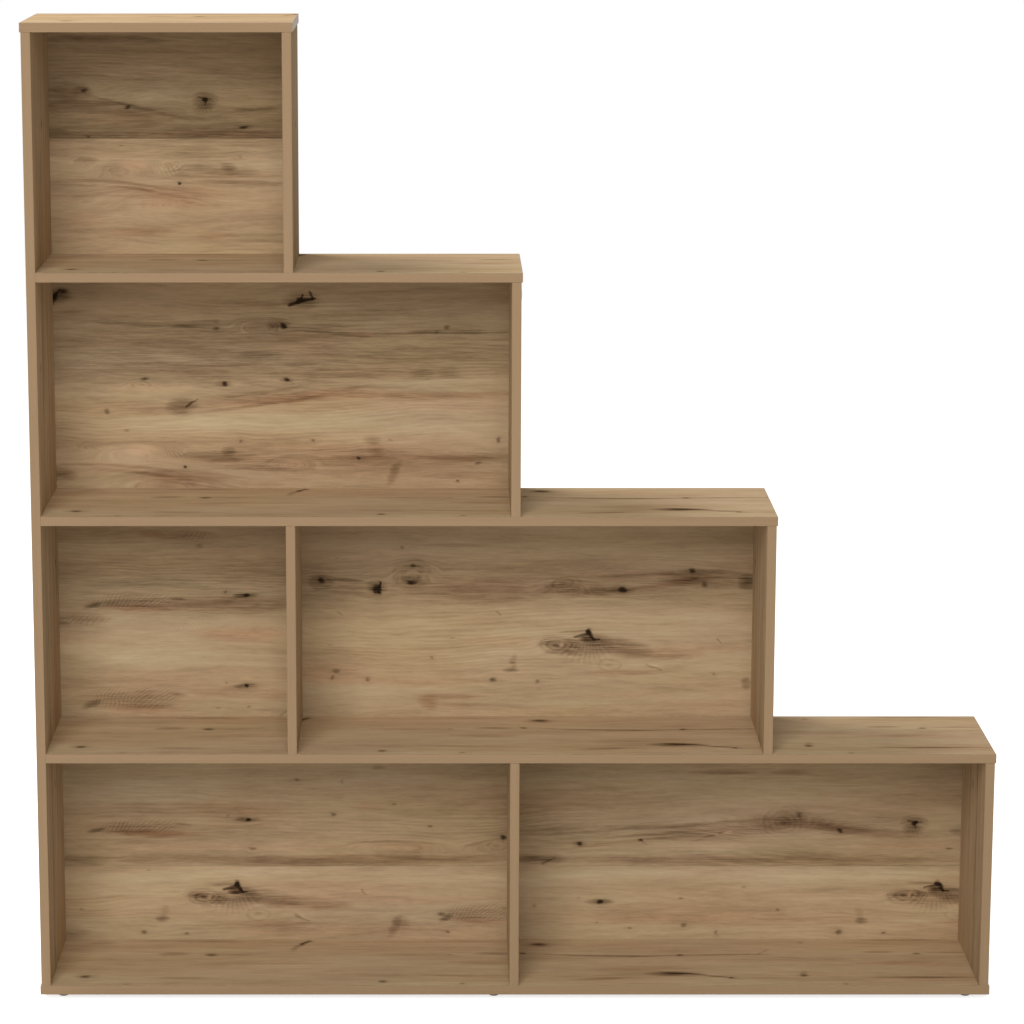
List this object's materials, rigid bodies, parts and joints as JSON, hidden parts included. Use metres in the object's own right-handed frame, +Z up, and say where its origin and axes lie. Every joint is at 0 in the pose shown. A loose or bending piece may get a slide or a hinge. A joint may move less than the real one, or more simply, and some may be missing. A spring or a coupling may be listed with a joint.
{
  "type": "stepped book cabinet",
  "caption": "Open free-standing book cabinet in faced board, stepped down from a tall left side to a long base, with dividers, thin back panels and small round feet.",
  "frame": {"origin": "on the floor, under the middle of the cabinet's width and depth", "axes": "+X along the width, from the tall side to the low steps; +Y from the open front to the back panels; +Z up"},
  "size_m": [1.55, 0.24, 1.59],
  "materials": {
    "faced_board": "knotty oak decor on chipboard, satin, grain along each board's length",
    "edging": "oak-toned plastic edging, satin, softly rounded",
    "back_sheet": "knotty oak decor on thin hardboard, satin, grain level",
    "foot_plastic": "grey-brown moulded plastic",
    "steel": "zinc plated",
    "cast_zinc": "bare die-cast zinc",
    "cover_plastic": "oak-toned moulded plastic",
    "dowel_wood": "plain turned beech"
  },
  "bodies": {
    "root": {"base_board": "faced_board", "base_board_edging": "edging", "top_board": "faced_board", "top_board_edging": "edging", "upper_shelf": "faced_board", "upper_shelf_edging": "edging", "middle_shelf": "faced_board", "middle_shelf_edging": "edging", "lower_shelf": "faced_board", "lower_shelf_edging": "edging", "left_side_panel": "faced_board", "left_side_panel_edging": "edging", "top_tier_end_panel": "faced_board", "top_tier_end_panel_edging": "edging", "second_tier_end_panel": "faced_board", "second_tier_end_panel_edging": "edging", "third_tier_end_panel": "faced_board", "third_tier_end_panel_edging": "edging", "bottom_tier_end_panel": "faced_board", "bottom_tier_end_panel_edging": "edging", "third_tier_divider": "faced_board", "third_tier_divider_edging": "edging", "bottom_tier_divider": "faced_board", "bottom_tier_divider_edging": "edging", "top_tier_back_panel": "back_sheet", "top_tier_back_nails": "steel", "second_tier_back_panel": "back_sheet", "second_tier_back_nails": "steel", "third_tier_back_panel": "back_sheet", "third_tier_back_nails": "steel", "bottom_tier_back_panel": "back_sheet", "bottom_tier_back_nails": "steel", "front_left_foot": "foot_plastic", "front_middle_foot": "foot_plastic", "front_right_foot": "foot_plastic", "rear_left_foot": "foot_plastic", "rear_middle_foot": "foot_plastic", "rear_right_foot": "foot_plastic", "foot_screws": "steel", "base_screws": "steel", "top_board_cam_bolts": "steel", "top_board_cam_locks": "cast_zinc", "top_board_cam_covers": "cover_plastic", "top_board_dowels": "dowel_wood", "upper_shelf_cam_bolts": "steel", "upper_shelf_cam_locks": "cast_zinc", "upper_shelf_cam_covers": "cover_plastic", "upper_shelf_dowels": "dowel_wood", "middle_shelf_cam_bolts": "steel", "middle_shelf_cam_locks": "cast_zinc", "middle_shelf_cam_covers": "cover_plastic", "middle_shelf_dowels": "dowel_wood", "lower_shelf_cam_bolts": "steel", "lower_shelf_cam_locks": "cast_zinc", "lower_shelf_cam_covers": "cover_plastic", "lower_shelf_dowels": "dowel_wood"}
  },
  "joints": []
}
